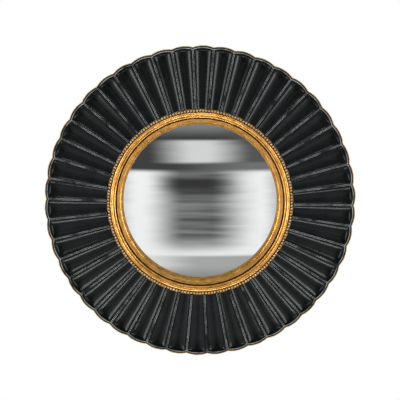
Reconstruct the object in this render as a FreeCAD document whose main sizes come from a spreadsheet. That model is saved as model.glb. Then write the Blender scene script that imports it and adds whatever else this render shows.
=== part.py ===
import FreeCAD, Part

import os
import re

import Sketcher

# A round convex mirror that hangs on a wall. Each piece is drawn lying on its back: Z is the way out of the
# wall, the wall is at Z = 0, Y is up. The piece's Placement then stands it up, so that the mirror faces -Y
# of the model. The model's origin is on the mirror's axis, halfway between the wall and the top of the dome.

doc = FreeCAD.newDocument("ConvexMirror")
sheet = doc.addObject("Spreadsheet::Sheet", "Sizes")

# The driving dimensions, in millimetres and degrees. The radius of a ring is taken from the mirror's axis,
# and a height is taken from the wall, unless the text says otherwise.
DRIVING_SIZES = (
    ("outer_radius", 250, "crest of a lobe of the rim"),
    ("flute_count", 46, "flutes, and lobes of the rim"),
    ("flute_phase", 2.7, "angle of the first flute above the horizontal"),
    ("lobe_radius", 45.7, "roundness of one lobe, seen from the front"),
    ("lobe_half_angle", 30, "half of the arc that one lobe is turned through"),
    ("lobe_root", 12, "how far a lobe reaches into the turned body"),
    ("rim_height", 20, "front of the rim"),
    ("cusp_margin", 0.8, "how far the turned body stays inside the cusps between lobes"),
    ("ridge_inner_height", 30.5, "ridges where they meet the beaded moulding"),
    ("ridge_overlap", 0.0008, "how far two flutes run into each other at a ridge, as a share of the radius"),
    ("flute_depth", 0.0367, "depth of a flute below its ridges, as a share of the radius"),
    ("flute_start_radius", 147.5, "where the cut of a flute starts, over the moulding's seat"),
    ("flute_cove_radius", 236, "where the floor of a flute starts to curve up to the rim"),
    ("flute_clearance", 1, "how far the cut of a flute reaches over the ridges"),
    ("rim_lip", 2.1, "flat front of the rim outside a flute"),
    ("seat_radius", 150.8, "seat of the beaded moulding in the frame"),
    ("seat_height", 20, "floor of that seat"),
    ("opening_front_radius", 135.2, "frame's opening, at the seat"),
    ("opening_back_radius", 139.6, "frame's opening, at the ledge of the turn buttons"),
    ("ledge_height", 6, "ledge of the turn buttons, in the back of the frame"),
    ("ledge_radius", 160, "outside of that ledge"),
    ("pocket_half_width", 20, "pocket of the hanger, in the back of the frame"),
    ("pocket_low", 150, "lower end of that pocket, above the mirror's axis"),
    ("pocket_high", 214, "upper end of that pocket"),
    ("moulding_inner_radius", 135.9, "wall of the beaded moulding beside the shadow gap"),
    ("moulding_outer_radius", 150.5, "outer wall of the beaded moulding"),
    ("reed_radius", 137.5, "top of the small reed beside the shadow gap"),
    ("reed_height", 28.2, "top of that reed"),
    ("reed_foot_height", 26.2, "foot of that reed"),
    ("round_radius", 142, "middle of the large round"),
    ("round_half_width", 3.4, "large round, at its foot"),
    ("round_height", 31.4, "top of the large round"),
    ("pearl_ledge_height", 27.6, "ledge of the pearls"),
    ("pearl_count", 192, "pearls"),
    ("pearl_circle_radius", 148, "circle of the pearls"),
    ("pearl_radius", 2.3, "one pearl, seen from the front"),
    ("pearl_height", 3, "one pearl, above its ledge"),
    ("sight_radius", 125.5, "edge of the glass that is seen"),
    ("sight_lip", 1.4, "thickness of the sight ring's lip"),
    ("sight_hollow_radius", 129.6, "middle of the sight ring's hollow"),
    ("sight_hollow_height", 18.2, "the same place, above the wall"),
    ("sight_top_height", 24.2, "its top"),
    ("sight_recess_radius", 130.6, "recess for the glass"),
    ("sight_play", 0.4, "play of the sight ring in the frame's opening"),
    ("lip_play", 0.3, "play of the glass under the lip"),
    ("glass_radius", 130, "edge of the glass"),
    ("glass_thickness", 3, "glass"),
    ("glass_edge_height", 12.5, "front of the glass at its edge"),
    ("dome_radius", 350, "sphere of the front of the glass"),
    ("board_radius", 138.2, "backing board"),
    ("board_thickness", 2.5, "backing board"),
    ("cushion_count", 8, "foam cushions behind the glass"),
    ("cushion_inner_radius", 119.5, "thick end of a cushion"),
    ("cushion_outer_radius", 128, "thin end of a cushion"),
    ("cushion_width", 14, "one cushion"),
    ("cushion_play", 0.3, "how far a cushion stays off the glass"),
    ("button_count", 6, "turn buttons"),
    ("button_circle_radius", 150, "circle of their screws"),
    ("button_reach", 17, "screw to the tip"),
    ("button_tail", 7, "screw to the other end"),
    ("button_half_width", 5.5, "turn button"),
    ("button_tip_half_width", 3.2, "turn button at its tip"),
    ("button_thickness", 1.2, "turn button"),
    ("button_play", 0.1, "play under and over a turn button"),
    ("screw_radius", 1.5, "shank of a screw"),
    ("screw_play", 0.1, "play round a screw in a turn button or strap"),
    ("pilot_play", 0.05, "play round a screw in its pilot hole"),
    ("screw_depth", 9, "screw in the frame"),
    ("pilot_depth", 10, "pilot hole"),
    ("head_radius", 3, "pan head"),
    ("head_height", 1.9, "pan head"),
    ("pivot_radius", 188, "bar of the hanger ring, above the mirror's axis"),
    ("wire_radius", 1.3, "wire of the hanger ring"),
    ("wire_play", 0.08, "play of the wire in the strap's eye"),
    ("strap_thickness", 1.2, "steel of the strap"),
    ("strap_width", 12, "strap"),
    ("strap_length", 25, "pivot to the lower end of the strap"),
    ("strap_first_screw", 9, "pivot to the upper screw"),
    ("strap_screw_pitch", 10, "upper screw to the lower one"),
    ("ring_half_width", 9.5, "hanger ring, to the middle of the wire"),
    ("ring_height", 17, "its bar to its top run"),
    ("ring_corner", 5, "its cut corners"),
    ("ring_lean", 4, "how far the hung ring leans in against the frame"),
)

for row, (alias, value, meaning) in enumerate(DRIVING_SIZES, start=1):
    sheet.set(f"A{row}", meaning)
    sheet.set(f"B{row}", str(value))
    sheet.setAlias(f"B{row}", alias)
doc.recompute()

ALIASES = {alias for alias, _, _ in DRIVING_SIZES}
X_AXIS = FreeCAD.Vector(1, 0, 0)
Y_AXIS = FreeCAD.Vector(0, 1, 0)
Z_AXIS = FreeCAD.Vector(0, 0, 1)
NEARLY_ZERO = 1e-6  # a length this small counts as none
FLUTE_STRIPS = 4  # flat strips across the round of a flute
COVE_STRIPS = 2  # and along the cove at its end
PEARL_SIDES = 5
WIRE_SIDES = 8  # sides of wire, screws and the holes that fit them

# Sizes worked out from the driving ones, as expressions.
HALF_PITCH = "(180 deg / flute_count)"
LOBE_CENTRE = "(outer_radius - lobe_radius)"
CUSP_ACROSS = f"({LOBE_CENTRE} * sin({HALF_PITCH}))"
CUSP_RADIUS = f"({LOBE_CENTRE} * cos({HALF_PITCH}) + sqrt(lobe_radius^2 - {CUSP_ACROSS}^2))"
BODY_RADIUS = f"({CUSP_RADIUS} - cusp_margin)"
RIDGE_FALL = "((ridge_inner_height - rim_height) / (flute_cove_radius - seat_radius))"
OPENING_TAPER = "((opening_back_radius - opening_front_radius) / (seat_height - ledge_height))"
BOARD_FRONT = "(ledge_height + board_thickness)"
DOME_CENTRE = "(glass_edge_height - sqrt(dome_radius^2 - glass_radius^2))"
GLASS_BACK = "(dome_radius - glass_thickness)"
DEPTH = f"({DOME_CENTRE} + dome_radius)"
BUTTON_FRONT = "(ledge_height - button_play)"
BUTTON_BACK = f"({BUTTON_FRONT} - button_thickness)"
STRAP_BACK = "(ledge_height - strap_thickness)"
EYE_RADIUS = "(wire_radius + wire_play)"
EYE_OUTSIDE = f"({EYE_RADIUS} + strap_thickness)"
PIVOT_HEIGHT = f"(ledge_height - {EYE_OUTSIDE})"
SIDE_ANGLE = f"(180 deg / {WIRE_SIDES})"


def bound(text):
    """The expression with each alias written as a cell of the sheet."""
    return re.sub(r"[a-z_]+", lambda word: f"Sizes.{word[0]}" if word[0] in ALIASES else word[0], text)


def number(text):
    """The value of an expression."""
    return float(sheet.evalExpression(text))


def dome_height(radius, sphere="dome_radius"):
    """Height of a sphere about the centre of the dome."""
    return f"({DOME_CENTRE} + sqrt({sphere}^2 - {radius}^2))"


def ridge_height(radius):
    """Height of the ridges, which fall evenly from the moulding to the coves of the flutes."""
    return f"(ridge_inner_height - ({radius} - seat_radius) * {RIDGE_FALL})"


def opening_radius(height):
    """Radius of the frame's opening, which narrows towards the front."""
    return f"(opening_back_radius - ({height} - ledge_height) * {OPENING_TAPER})"


def stand_up(piece):
    """Turns a piece from lying on its back to facing -Y, and moves the wall back by half of the depth."""
    piece.Placement = FreeCAD.Placement(FreeCAD.Vector(), FreeCAD.Rotation(X_AXIS, 90))
    piece.setExpression("Placement.Base.y", bound(f"{DEPTH} / 2"))


def new_body(label):
    """A sub-part made of sketched features."""
    body = doc.addObject("PartDesign::Body", label)
    body.Label = label
    body.AllowCompound = True
    stand_up(body)
    return body


def flat_face(corners):
    """A flat face through its corners."""
    return Part.Face(Part.makePolygon(corners + corners[:1]))


def ring_of(shape, count):
    """Copies of a shape, spread evenly about the mirror's axis."""
    copies = [shape.copy() for _ in range(count)]
    for place, copy in enumerate(copies):
        copy.rotate(FreeCAD.Vector(), Z_AXIS, 360 * place / count)
    return Part.makeCompound(copies)


def datum(body, role):
    """One of the body's own planes or axes."""
    return next(item for item in body.Origin.OriginFeatures if item.Role == role)


def new_sketch(body, name, role, offset="0", angle="0"):
    """A sketch on a plane of the body: moved along the normal, and turned about the mirror's axis."""
    sketch = body.newObject("Sketcher::SketchObject", f"{body.Name}_{name}")
    sketch.AttachmentSupport = [(datum(body, role), "")]
    sketch.MapMode = "FlatFace"
    about = Z_AXIS if role == "XY_Plane" else Y_AXIS
    # The angle starts as a whole turn, because a turn of nothing has no axis.
    sketch.AttachmentOffset = FreeCAD.Placement(FreeCAD.Vector(), FreeCAD.Rotation(about, 360))
    sketch.setExpression("AttachmentOffset.Rotation.Angle", bound(angle))
    if role == "YZ_Plane":
        sketch.setExpression("AttachmentOffset.Base.x", bound(f"{offset} * sin({angle} * 1 deg)"))
        sketch.setExpression("AttachmentOffset.Base.z", bound(f"{offset} * cos({angle} * 1 deg)"))
    else:
        sketch.setExpression("AttachmentOffset.Base.z", bound(offset))
    doc.recompute()
    return sketch


def bind(sketch, constraint, text):
    """Adds a dimension to a sketch and ties it to the sheet."""
    index = sketch.addConstraint(constraint)
    sketch.setExpression(f"Constraints[{index}]", bound(text))


def pin_point(sketch, edge, end, across, up):
    """Holds one end of an edge at a place worked out from the sheet."""
    for kind, text, axis in (("DistanceX", across, -2), ("DistanceY", up, -1)):
        if abs(number(text)) < NEARLY_ZERO:
            sketch.addConstraint(Sketcher.Constraint("PointOnObject", edge, end, axis))
        else:
            bind(sketch, Sketcher.Constraint(kind, -1, 1, edge, end, number(text)), text)


def outline(sketch, corners):
    """A closed outline of straight edges through corners (across, up)."""
    places = [FreeCAD.Vector(number(across), number(up), 0) for across, up in corners]
    edges = [
        sketch.addGeometry(Part.LineSegment(start, end), False)
        for start, end in zip(places, places[1:] + places[:1])
    ]
    for before, edge, corner in zip(edges[-1:] + edges[:-1], edges, corners):
        sketch.addConstraint(Sketcher.Constraint("Coincident", before, 2, edge, 1))
        pin_point(sketch, edge, 1, *corner)


def polygon(across, up, flat, sides=WIRE_SIDES):
    """Corners of a regular polygon, from the distance between its centre and its flats."""
    corner = f"({flat} / cos({180 / sides} deg))"
    turns = [f"({360 * (side + 0.5) / sides} deg)" for side in range(sides)]
    return [(f"{across} + {corner} * cos({turn})", f"{up} + {corner} * sin({turn})") for turn in turns]


def upright_axis(sketch, across):
    """A construction line to turn a section about."""
    foot = FreeCAD.Vector(number(across), 0, 0)
    edge = sketch.addGeometry(Part.LineSegment(foot, foot + Y_AXIS), True)
    sketch.addConstraint(Sketcher.Constraint("Vertical", edge))
    sketch.addConstraint(Sketcher.Constraint("Distance", edge, 1))
    pin_point(sketch, edge, 1, across, "0")
    return "Axis0"


def turn(body, sketch, axis=None, angle=None):
    """Turns a section about the mirror's axis, or part of the way about an axis of its sketch."""
    feature = body.newObject("PartDesign::Revolution", f"{sketch.Name}_turned")
    feature.Profile = sketch
    feature.ReferenceAxis = (sketch, [axis]) if axis else (datum(body, "Z_Axis"), [""])
    feature.Angle = 360
    if angle:
        feature.Midplane = True
        feature.setExpression("Angle", bound(angle))
    doc.recompute()
    return feature


def pad(body, sketch, length, both_ways=False):
    """Pads a sketch along its normal, or half of the way each way."""
    feature = body.newObject("PartDesign::Pad", f"{sketch.Name}_padded")
    feature.Profile = sketch
    feature.setExpression("Length", bound(length))
    feature.Midplane = both_ways
    doc.recompute()
    return feature


def pocket(body, sketch, length):
    """Cuts a sketch into the body along its normal, and makes sure that this takes something away."""
    before = body.Shape.Volume
    feature = body.newObject("PartDesign::Pocket", f"{sketch.Name}_cut")
    feature.Profile = sketch
    feature.setExpression("Length", bound(length))
    feature.Reversed = True
    doc.recompute()
    if not body.Shape.Volume < before:
        raise ValueError(f"{feature.Name} cuts nothing")
    return feature


def around(body, features, count):
    """Repeats features evenly about the mirror's axis."""
    pattern = body.newObject("PartDesign::PolarPattern", f"{features[0].Name}_around")
    pattern.Originals = features
    pattern.Axis = (datum(body, "Z_Axis"), [""])
    pattern.Angle = 360
    pattern.setExpression("Occurrences", bound(count))
    body.Tip = pattern
    doc.recompute()
    return pattern


def flute_section(body, name, radius, floor):
    """Section across a flute at one radius: a hollow round of flat strips, open above the ridges."""
    sketch = new_sketch(body, name, "YZ_Plane", radius, "flute_phase")
    half_width = f"({radius} * (tan({HALF_PITCH}) + ridge_overlap / 2))"
    sag = f"(flute_depth * {radius})"
    hollow = f"(({half_width}^2 + {sag}^2) / (2 * {sag}))"
    half_angle = f"(2 * atan({sag} / {half_width}))"
    corners = []
    for strip in range(FLUTE_STRIPS + 1):
        angle = f"({2 * strip / FLUTE_STRIPS - 1} * {half_angle})"
        corners.append((f"{hollow} * sin({angle})", f"{floor} + {hollow} * (1 - cos({angle}))"))
    above = "(ridge_inner_height + flute_clearance)"
    outline(sketch, corners + [(half_width, above), (f"-{half_width}", above)])
    return sketch


def flute_floor(radius):
    """Height of the floor of a flute, which deepens evenly from the moulding to its cove."""
    return f"({ridge_height(radius)} - flute_depth * {radius})"


def flute_sections(body):
    """Sections of one flute: it starts over the moulding's seat and coves up to the rim's lip."""
    sections = []
    for name, radius in (("start", "flute_start_radius"), ("deepest", "flute_cove_radius")):
        sections.append(flute_section(body, name, radius, flute_floor(radius)))
    floor = flute_floor("flute_cove_radius")
    run = "(outer_radius - rim_lip - flute_cove_radius)"
    rise = f"(rim_height - {floor})"
    cove = f"(({run}^2 + {rise}^2) / (2 * {rise}))"
    for strip in range(1, COVE_STRIPS + 1):
        angle = f"({strip / COVE_STRIPS} * asin({run} / {cove}))"
        radius = f"(flute_cove_radius + {cove} * sin({angle}))"
        height = f"({floor} + {cove} * (1 - cos({angle})))"
        sections.append(flute_section(body, f"cove_{strip}", radius, height))
    return sections


def flute_cutter(sections):
    """What is cut away for one flute: flat strips from each section to the next, and the end sections."""
    loops = []
    for sketch in sections:
        places = [sketch.getPoint(edge, 1) for edge in range(sketch.GeometryCount)]
        loops.append([sketch.Placement.multVec(place) for place in places])
    faces = [flat_face(loops[0]), flat_face(loops[-1])]
    for near, far in zip(loops, loops[1:]):
        sides = list(zip(near, far))
        for (near_start, far_start), (near_end, far_end) in zip(sides, sides[1:] + sides[:1]):
            faces.append(flat_face([near_start, near_end, far_end, far_start]))
    return Part.makeSolid(Part.makeShell(faces))


def fluted_frame():
    """Cast frame: a turned body, a rim of round lobes, as many scooped flutes, and a stepped back."""
    body = doc.addObject("PartDesign::Body", "frame_blank")
    section = new_sketch(body, "section", "XZ_Plane")
    corners = (
        ("ledge_radius", "0"),
        (BODY_RADIUS, "0"),
        (BODY_RADIUS, "rim_height"),
        ("flute_cove_radius", "rim_height"),
        ("seat_radius", "ridge_inner_height"),
        ("seat_radius", "seat_height"),
        ("opening_front_radius", "seat_height"),
        ("opening_back_radius", "ledge_height"),
        ("ledge_radius", "ledge_height"),
    )
    outline(section, corners)
    turn(body, section)

    lobe = new_sketch(body, "lobe", "XZ_Plane", angle="flute_phase")
    corners = (
        ("outer_radius - lobe_root", "0"),
        ("outer_radius", "0"),
        ("outer_radius", "rim_height"),
        ("outer_radius - lobe_root", "rim_height"),
    )
    outline(lobe, corners)
    axis = upright_axis(lobe, LOBE_CENTRE)
    around(body, [turn(body, lobe, axis, "2 * lobe_half_angle")], "flute_count")

    hanger = new_sketch(body, "hanger_pocket", "XY_Plane")
    corners = (
        ("-pocket_half_width", "pocket_low"),
        ("pocket_half_width", "pocket_low"),
        ("pocket_half_width", "pocket_high"),
        ("-pocket_half_width", "pocket_high"),
    )
    outline(hanger, corners)
    pocket(body, hanger, "ledge_height")

    pilots = new_sketch(body, "strap_pilots", "XY_Plane", "ledge_height")
    for drop in ("strap_first_screw", "(strap_first_screw + strap_screw_pitch)"):
        outline(pilots, polygon("0", f"(pivot_radius - {drop})", "(screw_radius + pilot_play)"))
    pocket(body, pilots, "pilot_depth")
    pilot = new_sketch(body, "button_pilot", "XY_Plane", "ledge_height")
    outline(pilot, polygon("button_circle_radius", "0", "(screw_radius + pilot_play)"))
    around(body, [pocket(body, pilot, "pilot_depth")], "button_count")

    flutes = doc.addObject("Part::Feature", "flutes")
    flutes.Shape = ring_of(flute_cutter(flute_sections(body)), int(number("flute_count")))
    frame = doc.addObject("Part::Cut", "fluted_frame")
    frame.Label = "fluted_frame"
    frame.Base = body
    frame.Tool = flutes
    stand_up(frame)
    doc.recompute()
    return frame


def turned_ring(label, corners):
    """A ring or disc turned from one section."""
    body = new_body(label)
    section = new_sketch(body, "section", "XZ_Plane")
    outline(section, corners)
    turn(body, section)
    return body


def beaded_moulding():
    """Gilt ring: a reed beside the shadow gap, a large round, and the ledge of the pearls."""
    valley = "(round_radius - round_half_width)"
    corners = (
        ("moulding_inner_radius", "seat_height"),
        ("moulding_inner_radius", "reed_foot_height"),
        ("reed_radius", "reed_height"),
        (valley, "reed_foot_height"),
        ("round_radius - round_half_width / 2", "round_height"),
        ("round_radius + round_half_width / 2", "round_height"),
        ("round_radius + round_half_width", "pearl_ledge_height"),
        ("moulding_outer_radius", "pearl_ledge_height"),
        ("moulding_outer_radius", "seat_height"),
    )
    return turned_ring("beaded_moulding", corners)


def pearl_row():
    """The pearls: faceted beads on the ledge of the moulding, each a solid of its own."""
    circle_radius = number("pearl_circle_radius")
    ledge = number("pearl_ledge_height")
    foot = []
    for side in range(PEARL_SIDES):
        out = FreeCAD.Vector(number("pearl_radius"), 0, 0)
        turned = FreeCAD.Rotation(Z_AXIS, 360 * side / PEARL_SIDES).multVec(out)
        foot.append(turned + FreeCAD.Vector(circle_radius, 0, ledge))
    top = FreeCAD.Vector(circle_radius, 0, ledge + number("pearl_height"))
    walls = [flat_face([start, end, top]) for start, end in zip(foot, foot[1:] + foot[:1])]
    pearl = Part.makeSolid(Part.makeShell(walls + [flat_face(foot)]))
    row = doc.addObject("Part::Feature", "pearl_row")
    row.Label = "pearl_row"
    row.Shape = ring_of(pearl, int(number("pearl_count")))
    stand_up(row)
    return row


def sight_ring():
    """Gilt ring over the edge of the glass, with a hollow face; it drops into the opening from behind."""
    top_outside = f"({opening_radius('sight_top_height')} - sight_play)"
    foot_outside = f"({opening_radius(BOARD_FRONT)} - sight_play)"
    corners = (
        ("sight_radius", f"({dome_height('sight_radius')} + lip_play)"),
        ("sight_radius", f"({dome_height('sight_radius')} + lip_play + sight_lip)"),
        ("sight_hollow_radius", "sight_hollow_height"),
        (top_outside, "sight_top_height"),
        (foot_outside, BOARD_FRONT),
        ("sight_recess_radius", BOARD_FRONT),
        ("sight_recess_radius", "(glass_edge_height + lip_play)"),
    )
    return turned_ring("sight_ring", corners)


def backing_board():
    """Disc that closes the back and holds the glass and the sight ring in."""
    corners = (
        ("0", "ledge_height"),
        ("board_radius", "ledge_height"),
        ("board_radius", BOARD_FRONT),
        ("0", BOARD_FRONT),
    )
    return turned_ring("backing_board", corners)


def ball(name, radius):
    """A sphere about the centre of the dome, with its poles and seam away from the dome."""
    sphere = doc.addObject("Part::Sphere", name)
    sphere.setExpression("Radius", bound(radius))
    sphere.Placement = FreeCAD.Placement(FreeCAD.Vector(), FreeCAD.Rotation(Y_AXIS, 90))
    sphere.setExpression("Placement.Base.z", bound(DOME_CENTRE))
    return sphere


def convex_mirror_glass():
    """Domed glass: what a round cutter leaves between two spheres."""
    cutter = doc.addObject("Part::Cylinder", "glass_cutter")
    cutter.setExpression("Radius", bound("glass_radius"))
    cutter.setExpression("Height", bound("dome_radius"))
    front = doc.addObject("Part::Common", "glass_front")
    front.Base = cutter
    front.Tool = ball("dome_front", "dome_radius")
    glass = doc.addObject("Part::Cut", "convex_mirror_glass")
    glass.Label = "convex_mirror_glass"
    glass.Base = front
    glass.Tool = ball("dome_back", GLASS_BACK)
    stand_up(glass)
    doc.recompute()
    return glass


def glass_cushions():
    """Foam cushions on the backing board, which press the glass into the sight ring."""
    body = new_body("glass_cushions")
    section = new_sketch(body, "section", "XZ_Plane")
    corners = [("cushion_inner_radius", BOARD_FRONT), ("cushion_outer_radius", BOARD_FRONT)]
    for radius in ("cushion_outer_radius", "cushion_inner_radius"):
        corners.append((radius, f"({dome_height(radius, GLASS_BACK)} - cushion_play)"))
    outline(section, corners)
    around(body, [pad(body, section, "cushion_width", both_ways=True)], "cushion_count")
    return body


def turn_button(place):
    """Tapered steel plate that turns on its screw and reaches over the backing board."""
    body = new_body(f"turn_button_{place + 1}")
    angle = f"({place} * 360 / button_count)"
    plate = new_sketch(body, "plate", "XY_Plane", BUTTON_BACK, angle)
    tip = "(button_circle_radius - button_reach)"
    corners = (
        (tip, "-button_tip_half_width"),
        ("button_circle_radius", "-button_half_width"),
        ("button_circle_radius + button_tail", "-button_half_width"),
        ("button_circle_radius + button_tail", "button_half_width"),
        ("button_circle_radius", "button_half_width"),
        (tip, "button_tip_half_width"),
    )
    outline(plate, corners)
    outline(plate, polygon("button_circle_radius", "0", "(screw_radius + screw_play)"))
    pad(body, plate, "button_thickness")
    return body


def screw(body, name, across, up, seat, end):
    """Pan head screw: a shank into the frame and a head on the wall's side of what it holds."""
    shank = new_sketch(body, f"{name}_shank", "XY_Plane", seat)
    outline(shank, polygon(across, up, f"(screw_radius * cos({SIDE_ANGLE}))"))
    head = new_sketch(body, f"{name}_head", "XY_Plane", f"({seat} - head_height)")
    outline(head, polygon(across, up, "head_radius"))
    return [pad(body, shank, f"({end} - {seat})"), pad(body, head, "head_height")]


def turn_button_screws():
    """The screws that the turn buttons turn on."""
    body = new_body("turn_button_screws")
    seat = f"({BUTTON_BACK} - button_play)"
    features = screw(body, "first", "button_circle_radius", "0", seat, "(ledge_height + screw_depth)")
    around(body, features, "button_count")
    return body


def hanger_screws():
    """The two screws of the strap."""
    body = new_body("hanger_screws")
    end = "(ledge_height + screw_depth)"
    screw(body, "upper", "0", "(pivot_radius - strap_first_screw)", STRAP_BACK, end)
    screw(body, "lower", "0", "(pivot_radius - strap_first_screw - strap_screw_pitch)", STRAP_BACK, end)
    return body


def hanger_strap():
    """Steel strap folded round the bar of the ring and screwed to the floor of the pocket."""
    body = new_body("hanger_strap")
    side = new_sketch(body, "side", "YZ_Plane")
    eye = polygon("pivot_radius", PIVOT_HEIGHT, EYE_OUTSIDE)
    fold = eye[1::-1] + eye[:2:-1]  # from the floor of the pocket round the bar and back
    throat = f"(pivot_radius - {EYE_OUTSIDE} - strap_thickness)"
    low = "(pivot_radius - strap_length)"
    outline(side, [(low, "ledge_height")] + fold + [(throat, STRAP_BACK), (low, STRAP_BACK)])
    outline(side, polygon("pivot_radius", PIVOT_HEIGHT, EYE_RADIUS))
    pad(body, side, "strap_width", both_ways=True)
    holes = new_sketch(body, "holes", "XY_Plane", STRAP_BACK)
    for drop in ("strap_first_screw", "(strap_first_screw + strap_screw_pitch)"):
        outline(holes, polygon("0", f"(pivot_radius - {drop})", "(screw_radius + screw_play)"))
    pocket(body, holes, "strap_thickness")
    return body


def ring_loop(outwards):
    """Outline of the ring, moved out or in from the middle of its wire.

    The bar of the ring is on the X axis, and its two upper corners are cut at 45 degrees.
    """
    shift = f"({outwards} * wire_radius * cos({SIDE_ANGLE}))"
    mitre = f"({shift} * tan(45 deg / 2))"
    corners = [
        (f"(ring_half_width + {shift})", f"(0 - {shift})"),
        (f"(ring_half_width + {shift})", f"(ring_height - ring_corner + {mitre})"),
        (f"(ring_half_width - ring_corner + {mitre})", f"(ring_height + {shift})"),
    ]
    return corners + [(f"(0 - {across})", up) for across, up in corners[::-1]]


def hanger_ring():
    """Wire ring that swings in the strap's eye and hangs on a hook in the wall."""
    body = new_body("hanger_ring")
    loops = new_sketch(body, "loops", "XY_Plane")
    outline(loops, ring_loop(1))
    outline(loops, ring_loop(-1))
    bars = pad(body, loops, f"(2 * wire_radius * cos({SIDE_ANGLE}))", both_ways=True)
    edges = enumerate(bars.Shape.Edges, start=1)
    rims = [f"Edge{index}" for index, edge in edges if edge.BoundBox.ZLength < NEARLY_ZERO]
    bevel = body.newObject("PartDesign::Chamfer", "ring_bevel")
    bevel.Base = (bars, rims)
    bevel.setExpression("Size", bound(f"wire_radius * (cos({SIDE_ANGLE}) - sin({SIDE_ANGLE}))"))
    doc.recompute()
    body.Placement = FreeCAD.Placement(FreeCAD.Vector(), FreeCAD.Rotation(X_AXIS, 90))
    body.setExpression("Placement.Rotation.Angle", bound("90 + ring_lean"))
    body.setExpression("Placement.Base.y", bound(f"{DEPTH} / 2 - {PIVOT_HEIGHT}"))
    body.setExpression("Placement.Base.z", bound("pivot_radius"))
    doc.recompute()
    return body


PIECES = [
    fluted_frame(),
    beaded_moulding(),
    pearl_row(),
    sight_ring(),
    convex_mirror_glass(),
    glass_cushions(),
    backing_board(),
    *[turn_button(place) for place in range(int(number("button_count")))],
    turn_button_screws(),
    hanger_strap(),
    hanger_ring(),
    hanger_screws(),
]
doc.recompute()

for item in doc.Objects:
    if {"Invalid", "Error"} & set(item.State):
        raise ValueError(f"{item.Label} doesn't compute")
for piece in PIECES:
    if piece.Shape.isNull() or not piece.Shape.isValid():
        raise ValueError(f"{piece.Label} has no sound shape")

os.makedirs("parts", exist_ok=True)
for piece in PIECES:
    piece.Shape.exportStep(f"parts/{piece.Label}.step")
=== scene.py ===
import math

import bpy
import numpy as np
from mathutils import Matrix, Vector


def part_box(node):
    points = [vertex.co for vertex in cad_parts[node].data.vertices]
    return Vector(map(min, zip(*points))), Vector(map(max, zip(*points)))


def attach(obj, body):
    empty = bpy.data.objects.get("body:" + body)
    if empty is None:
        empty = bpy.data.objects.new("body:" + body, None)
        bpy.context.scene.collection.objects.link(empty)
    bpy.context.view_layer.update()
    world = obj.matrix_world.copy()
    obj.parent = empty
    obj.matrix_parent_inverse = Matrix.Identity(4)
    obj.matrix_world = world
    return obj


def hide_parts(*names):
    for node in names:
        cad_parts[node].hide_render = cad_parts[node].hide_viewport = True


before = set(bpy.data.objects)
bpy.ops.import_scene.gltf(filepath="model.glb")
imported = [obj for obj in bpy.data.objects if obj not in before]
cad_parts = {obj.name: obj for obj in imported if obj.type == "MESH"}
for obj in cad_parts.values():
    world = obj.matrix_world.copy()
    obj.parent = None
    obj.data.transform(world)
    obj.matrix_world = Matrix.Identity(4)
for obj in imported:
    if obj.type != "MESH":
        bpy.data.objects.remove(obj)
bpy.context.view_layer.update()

# ---- The fluted frame ------------------------------------------------------------------------------------
# One round resin casting, sprayed black and lacquered. 46 scooped flutes run out to a scalloped edge, which
# is brushed with gilt paint down to the wall. Its flat back has a ledge for the board and a hanger pocket.

# Lengths are in millimetres: radii from the mirror's axis, and heights from the wall.
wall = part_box("fluted_frame")[1].y * 1000
flute_count = 46
flute_phase = math.radians(2.7)
half_pitch = math.pi / flute_count
outer_radius = 250.0
lobe_radius = 45.7
lobe_centre = outer_radius - lobe_radius
cusp_fillet = 0.8
rim_height = 20.0
rim_round = 1.1
rim_land = 3.7
gilt_reach = 2.0
seat_radius = 149.3
seat_middle = 143.0
seat_height = 20.0
ridge_inner_height = 30.5
cove_radius = 236.0
ridge_fall = (ridge_inner_height - rim_height) / (cove_radius - seat_radius)
ridge_land = 0.9
ridge_fillet = 0.5
flute_depth = 0.0367
cove_run = 6.0
cove_drop = flute_depth * (outer_radius - rim_land - cove_run)
cove_fillet = 1.2
ledge_height = 6.0
ledge_radius = 160.0
pocket_half_width = 20.0
pocket_top = 214.0
opening_front, opening_back = 135.2, 139.6
back_bevel = 0.6


def stand(across, up, height):
    """Points in the row frame, in metres, from millimetres across, up, and out of the wall."""
    return np.stack(np.broadcast_arrays(across, wall - height, up), axis=-1) / 1000


def soft_max(a, b, width):
    """The larger of a and b, plus a parabola of that width where they cross."""
    near = np.maximum(width - np.abs(a - b), 0) / width
    return np.maximum(a, b) + near**2 * width / 4


def lobe(angle):
    """Radius of a circle of lobe_radius about lobe_centre, met at that angle from its own middle."""
    return lobe_centre * np.cos(angle) + np.sqrt(lobe_radius**2 - (lobe_centre * np.sin(angle)) ** 2)


def scallop(angle):
    """Outline of the rim: a lobe and its neighbour, joined by a small fillet in the cusp."""
    return soft_max(lobe(angle), lobe(2 * half_pitch - np.abs(angle)), cusp_fillet)


def scooped(radius, angle, edge):
    """Distance in from the nearer border of the scoop: the ridge's side, or the land that follows the
    outline. edge is the distance in from the outline."""
    from_ridge = radius * (math.tan(half_pitch) - np.abs(np.tan(angle))) - ridge_land
    return np.minimum(from_ridge, edge - rim_land)


def fluted_height(radius, angle, edge):
    """Height of the front: narrow ridges that fall evenly to the cove, less an arc across each flute, never
    under a quarter sine wave that rises to the land along the rim."""
    ridge = np.maximum(ridge_inner_height - (radius - seat_radius) * ridge_fall, rim_height)
    half_width = radius * math.tan(half_pitch) - ridge_land
    sag = flute_depth * radius
    hollow = (half_width**2 + sag**2) / (2 * sag)
    across = radius * np.tan(angle)
    arc = ridge - sag + hollow - np.sqrt(hollow**2 - across**2)
    flute = -soft_max(-arc, -ridge, ridge_fillet)
    down = np.minimum((edge - rim_land) / cove_run, 1)
    cove = -soft_max(cove_drop * np.sin(down * math.pi / 2) - rim_height, -rim_height, ridge_fillet)
    return soft_max(flute, cove, cove_fillet)


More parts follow.
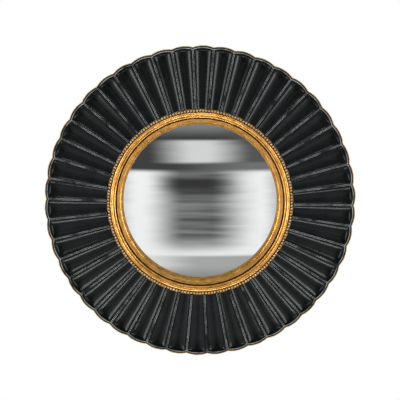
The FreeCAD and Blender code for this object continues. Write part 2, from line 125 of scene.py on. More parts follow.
def patch(name, points, around=True, along=False, crease=35, weld=False):
    """Mesh of quads between the neighbours of a grid of points, or of a stack of grids. Its columns, and
    its rows if along, close on themselves. Edges sharper than crease degrees stay sharp. weld joins the
    points that share one place."""
    rows, columns = points.shape[-3:-1]
    index = np.arange(points.size // 3).reshape(-1, rows, columns)
    if around:
        index = np.concatenate([index, index[:, :, :1]], axis=2)
    if along:
        index = np.concatenate([index, index[:, :1]], axis=1)
    quads = np.stack([index[:, :-1, :-1], index[:, 1:, :-1], index[:, 1:, 1:], index[:, :-1, 1:]], axis=-1)
    mesh = bpy.data.meshes.new(name)
    mesh.from_pydata(points.reshape(-1, 3).tolist(), [], quads.reshape(-1, 4).tolist())
    mesh.shade_smooth()
    mesh.set_sharp_from_angle(angle=math.radians(crease))
    piece = bpy.data.objects.new(name, mesh)
    bpy.context.scene.collection.objects.link(piece)
    if weld:
        piece.modifiers.new("weld", "WELD").merge_threshold = 1e-6
    return piece


def mark(piece, name, values):
    """Stores one number per point of the grid on the mesh."""
    piece.data.attributes.new(name, "FLOAT", "POINT").data.foreach_set("value", np.ravel(values))


def node(tree, kind, *sockets, **settings):
    """Adds a shader node. A socket is (input, value), or (input, output) to link."""
    made = tree.nodes.new("ShaderNode" + kind)
    for key, value in settings.items():
        setattr(made, key, value)
    for key, value in sockets:
        if isinstance(value, bpy.types.NodeSocket):
            tree.links.new(value, made.inputs[key])
        else:
            made.inputs[key].default_value = value
    return made


def rising(tree, value, low, high):
    """0 to 1 as the value goes from low to high."""
    return node(tree, "MapRange", ("Value", value), ("From Min", low), ("From Max", high)).outputs[0]


def cloud(tree, scale, low, high, stretch=(1, 1, 1), detail=4):
    """0 to 1 where a noise on the piece's own coordinates, scale to the metre, goes from low to high."""
    place = node(tree, "Mapping", ("Vector", node(tree, "TexCoord").outputs["Object"]), ("Scale", stretch))
    noise = node(tree, "TexNoise", ("Vector", place.outputs[0]), ("Scale", scale), ("Detail", detail))
    return rising(tree, noise.outputs["Fac"], low, high)


def between(tree, factor, low, high):
    """A number that goes from low to high with the factor."""
    return node(tree, "MapRange", ("Value", factor), ("To Min", low), ("To Max", high)).outputs[0]


def sums(tree, operation, first, second):
    """Adds, multiplies or compares two numbers, and keeps the result from 0 to 1."""
    return node(tree, "Math", (0, first), (1, second), operation=operation, use_clamp=True).outputs[0]


def tint(tree, factor, low, high):
    """A colour that goes from low to high with the factor. Either may be a colour or an output."""
    ends = [end if isinstance(end, bpy.types.NodeSocket) else (*end, 1) for end in (low, high)]
    return node(tree, "Mix", (0, factor), (6, ends[0]), (7, ends[1]), data_type="RGBA").outputs[2]


def stored(tree, name):
    """A number that mark stored on the mesh."""
    return node(tree, "Attribute", attribute_name=name).outputs["Fac"]


def coat(name, build, **constants):
    """Material of one Principled shader. build(tree) gives its linked inputs and constants the rest."""
    made = bpy.data.materials.new(name)
    made.use_nodes = True
    tree = made.node_tree
    shader = tree.nodes["Principled BSDF"]
    for key, value in constants.items():
        shader.inputs[key.replace("_", " ")].default_value = value
    for key, value in build(tree).items():
        tree.links.new(value, shader.inputs[key.replace("_", " ")])
    return made


def dents(tree, height, depth):
    """Normal of a bump that is depth metres deep."""
    return node(tree, "Bump", ("Height", height), ("Distance", depth), ("Strength", 1.0)).outputs[0]


def wear(piece, material, body, stands_for):
    """Gives a piece its material, in a slot of its own, and its body, and hides the CAD node that it stands
    for.
    """
    piece.data.materials.append(material)
    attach(piece, body)
    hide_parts(stands_for)


bronze_bright, bronze_deep = (0.46, 0.30, 0.125), (0.14, 0.082, 0.034)
black_bright, black_deep = (0.0084, 0.0106, 0.0108), (0.0048, 0.0064, 0.0065)
# Grey of the painted highlight: thin lines that stand in for the glint of the lacquer on the edges of the
# scoops.
painted_highlight_grey = (0.46, 0.47, 0.46)


def lacquer(tree):
    """Black lacquer with a painted highlight: thin grey lines on the sharp edges of the scoops, broken by
    noise, stand in for the glint of the lacquer there. Dull gilt on the rim, up to an uneven border."""
    painted = stored(tree, "gilt")
    ragged = cloud(tree, 420, 0.2, 0.8)
    gilt = rising(tree, sums(tree, "ADD", painted, sums(tree, "MULTIPLY", ragged, 0.35)), 0.6, 0.78)
    # Painted highlight: grey along the stored crests, broken by noise.
    painted_highlight = sums(tree, "MULTIPLY", stored(tree, "crest"), cloud(tree, 45, 0.34, 0.56, detail=5))
    black = tint(tree, cloud(tree, 55, 0.3, 0.7), black_deep, black_bright)
    black = tint(tree, painted_highlight, black, painted_highlight_grey)
    thickness = between(tree, cloud(tree, 160, 0.3, 0.7), 0.6, 1.0)
    laid_on = rising(tree, sums(tree, "MULTIPLY", painted, thickness), 0.45, 0.95)
    bronze = tint(tree, laid_on, bronze_deep, bronze_bright)
    gloss = between(tree, cloud(tree, 90, 0.3, 0.7), 0.20, 0.30)
    rough = node(tree, "Mix", (0, gilt), (2, gloss), (3, 0.5), data_type="FLOAT").outputs[0]
    relief = sums(tree, "ADD", cloud(tree, 60, 0.2, 0.8, detail=2), sums(tree, "MULTIPLY", ragged, 0.04))
    return {
        "Base_Color": tint(tree, gilt, black, bronze),
        "Metallic": between(tree, gilt, 0, 0.35),
        "Roughness": rough,
        "Normal": dents(tree, relief, 0.00006),
    }


def notch(angle):
    """Inside of the flat back: the ledge's circle, and the straight sides and top of the hanger pocket."""
    side = pocket_half_width / np.maximum(np.abs(np.cos(angle)), 1e-9)
    top = pocket_top / np.maximum(np.sin(angle), 1e-9)
    return np.where(np.sin(angle) > 0, np.maximum(np.minimum(side, top), ledge_radius), ledge_radius)


# Half a flute's columns, from its ridge to its middle, then the same back to the next ridge, and so round.
on_ridge = [0, 0.62, 0.9, 1.18, 1.8]
near_ridge = 3.0
spare = np.linspace(0, 1, 8)
fixed = np.array(on_ridge + [near_ridge] * len(spare))
share = np.concatenate([np.zeros(len(on_ridge)), spare])
fixed, share = (np.tile(np.concatenate([half, half[-2:0:-1]]), flute_count) for half in (fixed, share))
columns = len(fixed) // flute_count
turn = np.where(np.arange(len(fixed)) % columns <= columns // 2, -1, 1)
flute_middle = flute_phase + np.repeat(np.arange(flute_count), columns) * 2 * half_pitch


def column_angle(radius):
    """Angle of each column from its flute's middle: the first ones keep their distance from the ridge, and
    the rest share what is left of the flute."""
    from_ridge = fixed + (half_pitch * radius - near_ridge) * share
    return turn * (half_pitch - from_ridge / radius)


# Rows out along the flutes, closer towards the rim, and then at these distances in from the outline. A
# column's angle hangs on its radius, and its radius on the outline at that angle: four rounds settle both.
flute_rows = 1 - (1 - np.linspace(0, 1, 28)) ** 1.25
flute_end = 12.5
rim_rows = [11.0, 9.8, 8.7, 7.8, 7.0, 6.2, 5.5, 4.9, 4.4, 4.0, 3.7, 3.4, 3.0, 2.2, 1.5]
out = np.concatenate([flute_rows, np.ones(len(rim_rows))])[:, None]
inset = np.concatenate([flute_end * flute_rows, rim_rows])[:, None]
first_guess = outer_radius - 5
front = np.full((len(out), len(fixed)), first_guess)
for _ in range(4):
    local = column_angle(front)
    front = seat_radius + (scallop(local) - seat_radius) * out - inset
edge = scallop(local) - front
front_height = fluted_height(front, local, edge)
# Half widths of the painted highlight lines: wider along the inner edge of the rim land, narrow on the
# ridges.
painted_highlight_rim, painted_highlight_ridge = 0.6, 0.28
crest_width = np.where(edge < rim_land + 1, painted_highlight_rim, painted_highlight_ridge)
crest = np.clip(1 - np.abs(scooped(front, local, edge)) / crest_width, 0, 1)

rim = column_angle(outer_radius)
outline = scallop(rim)
around = flute_middle + rim
# Columns on the pocket's corners, so that its walls are straight.
for corner in (math.acos(pocket_half_width / ledge_radius), math.atan2(pocket_top, pocket_half_width)):
    for corner_angle in (corner, math.pi - corner):
        around[np.abs(around - corner_angle).argmin()] = corner_angle
inside = notch(around)

# All rows of the casting, as (radius, height): the moulding's seat, the front, the round of the rim, the
# edge that stands on the wall, and the flat back with its ledge.
zeros = np.zeros(len(fixed))
sill = [(zeros + r, zeros + seat_height) for r in (opening_front, seat_middle, seat_radius)]
quarter = np.radians([90, 60, 30, 0])
lip = [(outline - rim_round * (1 - np.cos(a)), rim_height - rim_round * (1 - np.sin(a))) for a in quarter]
flank = [(outline, rim_height / 2), (outline, back_bevel), (outline - back_bevel, 0)]
back = [((outline + inside) / 2, 0), (inside, 0), (inside, ledge_height)]
back += [(zeros + opening_back, ledge_height)]
rows = sill + list(zip(front, front_height)) + lip + flank + back
radii = np.array([row for row, _ in rows])
heights = np.array([zeros + height for _, height in rows])
angles = [flute_middle + column_angle(seat_radius)] * len(sill) + list(flute_middle + local)
angles = np.array(angles + [flute_middle + rim] * len(lip + flank) + [around] * len(back))
fluted = patch("fluted_casting", stand(radii * np.cos(angles), radii * np.sin(angles), heights), along=True)

# Gilt thins out over gilt_reach, in from the outline, and covers the edge down to its bevel.
full_gilt = 1.3
gilded = [zeros] * len(sill) + list(full_gilt - edge / gilt_reach)
gilded += [full_gilt - (outline - row) / gilt_reach for row, _ in lip]
gilded = np.array(gilded + [zeros + 1] * 2 + [zeros] * (1 + len(back)))
mark(fluted, "gilt", gilded.clip(0, 1))
# crest says where the painted highlight lines go.
mark(fluted, "crest", np.vstack([[zeros] * len(sill), crest, [zeros] * len(lip + flank + back)]))
black_and_gilt = coat("black_and_gilt", lacquer, Specular_IOR_Level=0.18)
wear(fluted, black_and_gilt, "mirror", "fluted_frame")

# ---- The beaded moulding ---------------------------------------------------------------------------------
# A cast ring glued into the front of the frame, brushed with gilt paint over a brown wash: a thin reed next
# to the shadow gap, a large round, and the ledge that the pearls stand on.

turns = np.linspace(0, 2 * math.pi, 384, endpoint=False)
gold_glint, gold_bright, gold_deep = (0.95, 0.64, 0.25), (0.90, 0.50, 0.125), (0.56, 0.262, 0.046)
brown_wash = (0.11, 0.042, 0.007)


def turned(name, profile, wash):
    """Surface of revolution: each (radius, height) of the profile goes round the mirror's axis, and wash
    says how brown it is, from 0 to 1."""
    radius, height = np.array(profile).T[:, :, None]
    piece = patch(name, stand(radius * np.cos(turns), radius * np.sin(turns), height), along=True)
    mark(piece, "wash", np.broadcast_to(np.array(wash)[:, None], (len(profile), len(turns))))
    return piece


def bow(centre, height, half_width, rise, start, end, count=9):
    """Points on an ellipse about (centre, height), from the start angle to the end one, in degrees."""
    angle = np.radians(np.linspace(start, end, count))
    return [(centre + half_width * math.cos(a), height + rise * math.sin(a)) for a in angle]


def gilding(tree):
    """Gilt paint dragged over a brown wash: bright where it stands out, brown in hollows and scratches."""
    streaks = cloud(tree, 85, 0.38, 0.62, stretch=(1, 3, 1), detail=8)
    pits = cloud(tree, 520, 0.57, 0.70, detail=3)
    gold = tint(tree, streaks, gold_deep, gold_bright)
    gold = tint(tree, cloud(tree, 260, 0.58, 0.78), gold, gold_glint)
    ragged = sums(tree, "MULTIPLY", cloud(tree, 190, 0.25, 0.75), 0.5)
    washed = rising(tree, sums(tree, "ADD", stored(tree, "wash"), ragged), 0.55, 1.15)
    washed = sums(tree, "MAXIMUM", washed, sums(tree, "MULTIPLY", pits, 0.7))
    relief = sums(tree, "ADD", sums(tree, "MULTIPLY", streaks, 0.6), sums(tree, "MULTIPLY", pits, 0.4))
    return {
        "Base_Color": tint(tree, washed, gold, brown_wash),
        "Metallic": between(tree, washed, 0.72, 0.25),
        "Roughness": between(tree, sums(tree, "ADD", washed, ragged), 0.26, 0.60),
        "Normal": dents(tree, relief, 0.00022),
    }


gilt = coat("gilt", gilding)
moulding_inside, moulding_outside = 135.5, 149.1
reed_middle, reed_height, reed_radius = 137.2, 26.8, 1.6
round_middle, round_height, round_half_width, round_rise = 141.1, 27.7, 2.55, 3.5
ledge = 27.6
profile = [(moulding_inside, seat_height), (moulding_inside, 25.6)]
profile += bow(reed_middle, reed_height, reed_radius, reed_radius, 195, 15)
profile += bow(round_middle, round_height, round_half_width, round_rise, 190, 5, 13)
profile += [(144.0, ledge + 0.1), (144.7, ledge - 0.1), (148.4, ledge - 0.1)]
profile += [(moulding_outside, ledge - 0.9), (moulding_outside, seat_height)]
inner_wall, reed_wash, ledge_wash = [1, 0.9], [0.9, 0.4, 0, 0, 0, 0, 0, 0.4, 0.85], [1, 1, 1, 1, 1]
round_wash = [0.9, 0.6, 0.2, 0, 0, 0, 0, 0, 0, 0, 0.3, 0.75, 0.95]
moulding = turned("moulding_ring", profile, inner_wall + reed_wash + round_wash + ledge_wash)
wear(moulding, gilt, "mirror", "beaded_moulding")

# ---- The pearls ------------------------------------------------------------------------------------------
# A string of 192 small half balls on the ledge, cast in a strip and brushed with the same gilt paint, which
# has caught on their tops and left the brown wash between them.

pearl_count = 192
pearl_circle = 146.3
pearl_radius = 2.3
pearl_rise = 3.0
pearl_sides = 10
pearl_sunk = 0.2
# Five circles from the top of a pearl to its foot, and its middle again to close it below.
latitudes = np.radians([90, 74, 52, 28, 0])
spread = np.append(np.cos(latitudes), 0)[:, None] * pearl_radius
swell = np.append(np.sin(latitudes), 0)[:, None]
sides = np.arange(pearl_sides) * 2 * math.pi / pearl_sides
out, beside = spread * np.cos(sides), spread * np.sin(sides)
above = ledge - pearl_sunk + pearl_rise * swell + 0 * sides


def set_round(grid_out, grid_beside, angles):
    """A stack of copies of a grid, each turned by an angle about the mirror's axis: across and up, from the
    distance out from the axis and the distance beside that line."""
    angles = np.reshape(angles, (-1, 1, 1))
    across = grid_out * np.cos(angles) - grid_beside * np.sin(angles)
    return across, grid_out * np.sin(angles) + grid_beside * np.cos(angles)


across, up = set_round(pearl_circle + out, beside, np.arange(pearl_count) * 2 * math.pi / pearl_count)
pearls = patch("pearls", stand(across, up, above), crease=180, weld=True)
foot_wash = 0.95
mark(pearls, "wash", np.broadcast_to((foot_wash - swell).clip(0, 1), across.shape))
pearl_pale, pearl_dull, pearl_wash = (0.62, 0.44, 0.25), (0.46, 0.29, 0.12), (0.085, 0.045, 0.016)


def pearl_gilding(tree):
    """Brown beads with pale gilt on their tops."""
    ragged = sums(tree, "MULTIPLY", cloud(tree, 300, 0.25, 0.75), 0.5)
    washed = rising(tree, sums(tree, "ADD", stored(tree, "wash"), ragged), 0.15, 0.9)
    gold = tint(tree, cloud(tree, 120, 0.35, 0.65), pearl_dull, pearl_pale)
    return {
        "Base_Color": tint(tree, washed, gold, pearl_wash),
        "Metallic": between(tree, washed, 0.5, 0.2),
        "Roughness": between(tree, washed, 0.34, 0.6),
    }


wear(pearls, coat("pearl_gilt", pearl_gilding), "mirror", "pearl_row")

# ---- The sight ring --------------------------------------------------------------------------------------
# A second gilt ring, dropped into the frame's opening from behind. Its hollow face slopes down to the glass
# and its lip holds the edge of the glass. The dark gap around it is the frame's opening.

dome_radius = 350.0
glass_radius = 130.0
glass_edge = 12.5
dome_centre = glass_edge - math.sqrt(dome_radius**2 - glass_radius**2)


def dome(radius, sphere=dome_radius):
    """Height of a sphere about the centre of the dome."""
    return dome_centre + np.sqrt(sphere**2 - np.square(radius))


sight_radius = 126.7
glass_height = float(dome(sight_radius))
lip_top = glass_height + 1.2
lip_radius = 0.6
rebate_radius, rebate_height = 130.6, 12.8
ring_back_radius, ring_back_height = 138.4, 8.5
hollow_foot, hollow_head = np.array([sight_radius + 1.1, lip_top - 0.1]), np.array([132.3, 24.0])
climb = np.linspace(0, 1, 12)[1:]
steepening = 1.35
hollow = hollow_foot + (hollow_head - hollow_foot) * np.stack([climb, climb**steepening], axis=1)
profile = [(rebate_radius, rebate_height), (sight_radius + 0.3, glass_height + 0.25)]
profile += bow(sight_radius + 0.7, lip_top - 0.65, lip_radius, lip_radius, 200, 60, 6)
profile += hollow.tolist() + [(132.8, 24.2), (133.3, 23.9)]
profile += [(ring_back_radius, ring_back_height), (rebate_radius, ring_back_height)]
rebate_wash, lip_wash, outside_wash = [1, 0.9], [0.6, 0, 0, 0, 0, 0], [0, 0.5, 1, 1]
hollow_wash = [0.1, 0.2, 0.25, 0.25, 0.2, 0.15, 0.1, 0.05, 0, 0, 0]
sight = turned("sight_ring_gilt", profile, rebate_wash + lip_wash + hollow_wash + outside_wash)
wear(sight, gilt, "mirror", "sight_ring")

# ---- The mirror glass ------------------------------------------------------------------------------------
# A disc of 3 mm glass, bent to a dome in the kiln and silvered on its back. It is held behind the lip of the
# sight ring. Front and back are spheres with one centre.

thickness = 3.0
circles = glass_radius * np.sin(np.linspace(0, math.pi / 2, 40))
radius = np.concatenate([circles, circles[::-1]])[:, None]
height = np.concatenate([dome(circles), dome(circles[::-1], dome_radius - thickness)])[:, None]
points = stand(radius * np.cos(turns), radius * np.sin(turns), height + 0 * turns)
glass = patch("domed_glass", points, weld=True)


def silvering(tree):
    """Silvered glass with a faint haze of wiping marks."""
    haze = cloud(tree, 9, 0.35, 0.75, detail=6)
    return {
        "Base_Color": tint(tree, haze, (0.90, 0.91, 0.91), (0.84, 0.85, 0.85)),
        "Roughness": between(tree, haze, 0.02, 0.05),
    }


wear(glass, coat("silvered_glass", silvering, Metallic=1.0), "mirror", "convex_mirror_glass")

# ---- The backing board and the cushions ------------------------------------------------------------------
# Brown hardboard disc, smooth side out, pressed in from behind. Grey foam cushions between it and the glass
# take up the play.


def hardboard(tree):
    """Pressed brown fibre with darker flecks."""
    fibre = cloud(tree, 520, 0.3, 0.7, detail=8)
    flecks = cloud(tree, 900, 0.62, 0.72, detail=2)
    brown = tint(tree, fibre, (0.15, 0.082, 0.038), (0.24, 0.139, 0.069))
    brown = tint(tree, cloud(tree, 14, 0.35, 0.75), brown, (0.155, 0.088, 0.042))
    return {
        "Base_Color": tint(tree, flecks, brown, (0.06, 0.03, 0.015)),
        "Roughness": between(tree, fibre, 0.42, 0.6),
        "Normal": dents(tree, fibre, 0.0001),
    }


def foam(tree):
    """Open grey foam."""
    cells = cloud(tree, 1400, 0.35, 0.65, detail=2)
    return {
        "Base_Color": tint(tree, cells, (0.16, 0.16, 0.155), (0.36, 0.36, 0.35)),
        "Roughness": between(tree, cells, 0.9, 0.98),
        "Normal": dents(tree, cells, 0.0003),
    }


def dress(name, material):
    """Gives a CAD node one material."""
    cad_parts[name].data.materials.clear()
    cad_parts[name].data.materials.append(material)


dress("backing_board", coat("hardboard", hardboard))
dress("glass_cushions", coat("grey_foam", foam))

# ---- The turn buttons ------------------------------------------------------------------------------------
# Six plates blanked out of zinc plated steel, with round ends. The wide end lies on the frame's ledge and the
# tip holds the board. Each turns aside on its screw to free the board.


def zinc(tree):
    """Bright zinc plate, a little cloudy, with fine scratches."""
    clouds = cloud(tree, 180, 0.3, 0.7)
    scratches = cloud(tree, 300, 0.55, 0.6, stretch=(1, 1, 14), detail=2)
    grey = tint(tree, clouds, (0.50, 0.50, 0.48), (0.68, 0.69, 0.70))
    return {
        "Base_Color": tint(tree, scratches, grey, (0.36, 0.36, 0.35)),
        "Roughness": between(tree, clouds, 0.26, 0.42),
        "Normal": dents(tree, scratches, 0.00004),
    }


plated = coat("zinc_plate", zinc, Metallic=0.95)
button_count = 6
button_circle = 150.0
button_front, button_back = 5.9, 4.7
button_hole = 1.6
wide_middle, wide_radius = 151.4, 5.5
tip_middle, tip_radius = 136.3, 3.2
blanked = 0.3
facing = np.linspace(0, 2 * math.pi, 48, endpoint=False)
taper = (wide_radius - tip_radius) / (wide_middle - tip_middle)
wide = np.cos(facing) > -taper
middle_of = np.where(wide, wide_middle, tip_middle)
radius_of = np.where(wide, wide_radius, tip_radius)


def hull(inset):
    """Outline of the two round ends and their tangents: the point of it that faces each direction."""
    return middle_of + (radius_of - inset) * np.cos(facing), (radius_of - inset) * np.sin(facing)


hole = button_circle + button_hole * np.cos(facing), button_hole * np.sin(facing)
rows = [(hole, button_back), (hole, button_front), (hull(blanked), button_front)]
rows += [(hull(0), button_front - blanked), (hull(0), button_back + blanked), (hull(blanked), button_back)]
plate_out, plate_beside = np.array([points for points, _ in rows]).transpose(1, 0, 2)
plate_height = np.array([height for _, height in rows])[:, None]
button_angles = np.arange(button_count) * 2 * math.pi / button_count
for number, angle in enumerate(button_angles, start=1):
    across, up = set_round(plate_out, plate_beside, angle)
    button = patch(f"button_plate_{number}", stand(across, up, plate_height), along=True)
    wear(button, plated, f"button_{number}", f"turn_button_{number}")

# ---- The screws ------------------------------------------------------------------------------------------
# Zinc plated pan head wood screws with a cross recess: one through each turn button into the frame's ledge,
# and two through the strap into the floor of the pocket.

head_radius = 3.0
head_side, head_rise = 0.9, 1.9
head_break = 0.2
shank_radius = 1.5
shank_end, shank_point = 15.0, 3
cross_reach, cross_half_width, cross_depth = 1.75, 0.42, 0.9
ramp = 0.18
spokes = np.linspace(0, 2 * math.pi, 48, endpoint=False)


def pan_screw(seat, turned_by):
    """Grids of radius and height: a pointed shank, the flat under the head, its round top, which falls with
    the square root of one less the cube of the radius, and a cross that goes in where the smaller of the two
    distances from its arms is less than their half width."""
    top = [2.9, 2.6, 2.2, 1.93, 1.84, 1.75, 1.5, 1.2, 0.95, 0.8, 0.7, 0.6, 0.5, 0.42, 0.3, 0.15, 0]
    lathed = [(0, shank_end), (shank_radius, shank_end - shank_point), (shank_radius, seat)]
    lathed += [(head_radius - 0.15, seat), (head_radius, seat - head_break), (head_radius, seat - head_side)]
    rise = head_rise - head_side
    lathed += [(r, seat - head_side - rise * math.sqrt(1 - (r / head_radius) ** 3)) for r in top]
    radius, height = np.array(lathed).T[:, :, None]
    a, b = np.abs(radius * np.cos(spokes - turned_by)), np.abs(radius * np.sin(spokes - turned_by))
    inside = np.clip((cross_half_width + ramp - np.minimum(a, b)) / ramp, 0, 1)
    inside = inside * np.clip((cross_reach + ramp - np.maximum(a, b)) / ramp, 0, 1)
    cut = cross_depth * inside * (height < seat - head_side)
    return radius * np.cos(spokes), radius * np.sin(spokes), height + cut


# Each screw has stopped at its own angle.
head_seat = button_back - 0.1
screws = [pan_screw(head_seat, 0.4 + 1.3 * number) for number in range(button_count)]
out, beside, height = np.stack(screws, axis=1)
across, up = set_round(button_circle + out, beside, button_angles)
button_screws = patch("button_screws", stand(across, up, height), weld=True)
wear(button_screws, plated, "mirror", "turn_button_screws")

pivot = 188.0
strap_front, strap_back = 6.0, 4.8
strap_screws_up = pivot - 9, pivot - 19
screws = [pan_screw(strap_back, 0.9 * number + 0.2) for number in range(len(strap_screws_up))]
across, up, height = np.stack(screws, axis=1)
up = up + np.reshape(strap_screws_up, (-1, 1, 1))
strap_screws = patch("strap_screws", stand(across, up, height), weld=True)
wear(strap_screws, plated, "mirror", "hanger_screws")

# ---- The hanger: strap and ring --------------------------------------------------------------------------
# A zinc plated steel strap, folded round the bar of the ring and screwed to the floor of the pocket, and a
# ring bent from 2.6 mm wire, which swings in the fold and hangs on the hook.

strap_half_width = 6.0
strap_low = 163.0
strap_corner = 2.5
half_thickness = (strap_front - strap_back) / 2
fold_radius = 1.98
pivot_height = strap_front - half_thickness - fold_radius
# The strap's middle line and its normal: up to the pivot, and then most of a circle round it. Both faces of
# the strap stand half its thickness from that line, and its low corners are rounded.
run = np.array([0, 0.2, 0.6, 1.2, strap_corner, 12, pivot - strap_low])
bend = np.radians(np.arange(15, 301, 15))
normal_up = np.concatenate([0 * run, np.sin(bend)])
normal_height = np.concatenate([0 * run + 1, np.cos(bend)])
path_up = np.concatenate([strap_low + run, pivot + fold_radius * np.sin(bend)])
path_height = pivot_height + fold_radius * normal_height
cut = np.maximum(strap_corner - (path_up - strap_low), 0)
half_width = strap_half_width - strap_corner + np.sqrt(strap_corner**2 - cut**2)
side = np.repeat([1, -1], len(path_up))
order = np.concatenate([np.arange(len(path_up)), np.arange(len(path_up))[::-1]])
over = np.array([1, 1, 0.96, -0.96, -1, -1])
thick = half_thickness * np.array([0, 0.65, 1, 1, 0.65, 0])
across = half_width[order][:, None] * over
up = path_up[order][:, None] + (side * normal_up[order])[:, None] * thick
height = path_height[order][:, None] + (side * normal_height[order])[:, None] * thick
strap = patch("folded_strap", stand(across, up, height), around=False, along=True, weld=True)
wear(strap, plated, "mirror", "hanger_strap")

wire_radius = 1.3
ring_half_width = 9.5
ring_height = 17.0
low_bend, high_bend = 2.6, 8.3
ring_lean = math.radians(4)
# Four quarter bends, joined by straight wire: the hand it is on, its middle above the pivot, its radius, and
# the angle where it starts.
bends = [(1, low_bend, low_bend, -90), (1, ring_height - high_bend, high_bend, 0)]
bends += [(-1, ring_height - high_bend, high_bend, 90), (-1, low_bend, low_bend, 180)]
hand, middle_up, bend_radius, start = np.array(bends).T[:, :, None, None]
wire_turn = np.radians(start + np.linspace(0, 90, 10)[:, None])
girth = np.linspace(0, 2 * math.pi, 14, endpoint=False)
out = bend_radius + wire_radius * np.cos(girth)
across = hand * (ring_half_width - bend_radius) + out * np.cos(wire_turn)
along_ring = middle_up + out * np.sin(wire_turn)
above = wire_radius * np.sin(girth)
up = pivot + along_ring * math.cos(ring_lean) - above * math.sin(ring_lean)
height = pivot_height + along_ring * math.sin(ring_lean) + above * math.cos(ring_lean)
ring = patch("wire_ring", stand(across, up, height).reshape(-1, len(girth), 3), along=True)
wear(ring, plated, "ring", "hanger_ring")

# ---- Floor, light and camera -----------------------------------------------------------------------------
# A pale floor far below, soft lights on both sides, above and below, and the soft grey shapes of a studio in
# front, which light the object too and which its glass and gloss mirror.

floor_height = -1.3
floor_left, floor_right, floor_front, floor_back = -1.6, 1.6, -1.3, 0.8
corners = [[(x, y, floor_height) for y in (floor_front, floor_back)] for x in (floor_left, floor_right)]
floor = patch("floor", np.array(corners), around=False)
floor.visible_glossy = False


def pale(tree):
    """Pale paper."""
    return {"Base_Color": tint(tree, cloud(tree, 3, 0.3, 0.7), (0.80, 0.80, 0.80), (0.84, 0.84, 0.84))}


floor.data.materials.append(coat("pale_paper", pale, Roughness=0.9))

studio = bpy.data.worlds.new("studio")
bpy.context.scene.world = studio
studio.use_nodes = True
sky = studio.node_tree
seen_scale = 319.0
elevation = math.radians(5.1)
to_camera = (0.0, -math.cos(elevation), math.sin(elevation))
# side and rise say where on the dome, in millimetres from its middle, a direction is mirrored to the camera.
toward = node(sky, "TexCoord").outputs["Generated"]
halfway = node(sky, "VectorMath", (0, toward), (1, to_camera), operation="ADD").outputs["Vector"]
halfway = node(sky, "VectorMath", (0, halfway), operation="NORMALIZE").outputs["Vector"]
seen_at = node(sky, "VectorMath", (0, halfway), ("Scale", seen_scale), operation="SCALE").outputs["Vector"]
split = node(sky, "SeparateXYZ", (0, seen_at))
side, rise = split.outputs["X"], split.outputs["Z"]


def step_between(value, low, high):
    """0 to 1, eased, as value goes from low to high."""
    span = (("From Min", low), ("From Max", high))
    return node(sky, "MapRange", ("Value", value), *span, interpolation_type="SMOOTHSTEP").outputs[0]


def patch_of(left, right, low=None, high=None):
    """1 inside a rectangle with soft edges, each given as where it starts and where it is full."""
    inside = sums(sky, "MULTIPLY", step_between(side, *left), step_between(side, *right))
    for edge in (low, high):
        if edge:
            inside = sums(sky, "MULTIPLY", inside, step_between(rise, *edge))
    return inside


def grey(value):
    """A neutral colour."""
    return (value, value, value)


# Level streaks, which also make the upright edges drift.
level = (0.004, 0.0, 0.09)
stretched = node(sky, "VectorMath", (0, seen_at), (1, level), operation="MULTIPLY").outputs["Vector"]
streaks = node(sky, "TexNoise", ("Vector", stretched), ("Scale", 1.0), ("Detail", 3.0)).outputs["Fac"]
drift = node(sky, "MapRange", ("Value", streaks), ("To Min", -13.0), ("To Max", 13.0)).outputs[0]
side = node(sky, "Math", (0, side), (1, drift), operation="ADD").outputs[0]

# The lower part: a floor that dims to the right, bright sides, a dark middle and its darker core.
floor_tone = tint(sky, step_between(side, -85, 5), grey(0.80), grey(0.42))
bright = tint(sky, step_between(side, 96, 128), grey(0.97), grey(0.60))
bright = tint(sky, step_between(side, -128, -100), grey(0.70), bright)
low_part = tint(sky, step_between(rise, -89, -83), floor_tone, bright)
low_part = tint(sky, step_between(rise, -122, -100), grey(0.30), low_part)
middle = patch_of((-94, -26), (100, 14), low=(-90, -56))
shade = tint(sky, step_between(streaks, 0.34, 0.66), grey(0.09), grey(0.25))
low_part = tint(sky, middle, low_part, shade)
core = patch_of((-84, -26), (74, 10), low=(4, 28), high=(48, 34))
low_part = tint(sky, core, low_part, grey(0.040))

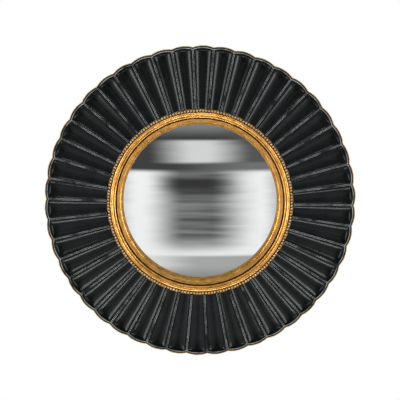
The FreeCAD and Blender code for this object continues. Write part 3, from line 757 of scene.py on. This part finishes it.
# The upper part: a dark ceiling, a lit panel and a grey band beside it.
ceiling = tint(sky, step_between(rise, 100, 124), grey(0.055), grey(0.24))
ceiling = tint(sky, step_between(side, 20, 90), ceiling, grey(0.10))
panel = patch_of((-84, -8), (84, 8), low=(60, 66), high=(101, 96))
high_part = tint(sky, panel, ceiling, grey(0.72))
band = patch_of((-60, 90), (240, 200), low=(40, 46), high=(66, 61))
high_part = tint(sky, band, high_part, grey(0.18))

# Both parts, even light from behind the object, and white where the camera looks past it.
room = tint(sky, step_between(rise, 46, 54), low_part, high_part)
behind = step_between(node(sky, "SeparateXYZ", (0, toward)).outputs["Y"], -0.05, 0.35)
room = tint(sky, behind, room, grey(1.2))
rays = node(sky, "LightPath").outputs["Is Camera Ray"]
view = tint(sky, rays, room, grey(1.0))
sky.links.new(view, sky.nodes["Background"].inputs["Color"])

# Name, centre and size in metres, and power in watts.
softboxes = (
    ("left", (-1.55, -0.62, 0.25), (0.5, 1.5), 24.0),
    ("right", (1.55, -0.66, 0.25), (0.5, 1.5), 24.0),
    ("above", (0.0, -0.10, 1.40), (1.5, 0.14), 11.0),
    ("below", (0.0, -0.34, -1.25), (1.5, 0.20), 14.0),
)
for name, centre, size, power in softboxes:
    light = bpy.data.lights.new(f"softbox_{name}", "AREA")
    light.shape = "RECTANGLE"
    light.size, light.size_y = size
    light.energy = power
    box = bpy.data.objects.new(f"softbox_{name}", light)
    box.location = centre
    box.rotation_mode = "QUATERNION"
    box.rotation_quaternion = box.location.to_track_quat("Z", "Y")
    bpy.context.scene.collection.objects.link(box)

# The camera looks from the photograph's angle at a point beside and above the origin, in metres.
lens = 100.9
distance = 1.801
aim = (-0.0001, 0.0033)
camera = bpy.data.objects.new("camera", bpy.data.cameras.new("camera"))
camera.data.lens = lens
camera.location = (aim[0], -distance * math.cos(elevation), distance * math.sin(elevation) + aim[1])
camera.rotation_euler = (math.pi / 2 - elevation, 0, 0)
bpy.context.scene.collection.objects.link(camera)
bpy.context.scene.camera = camera
bpy.context.scene.view_settings.view_transform = "Standard"
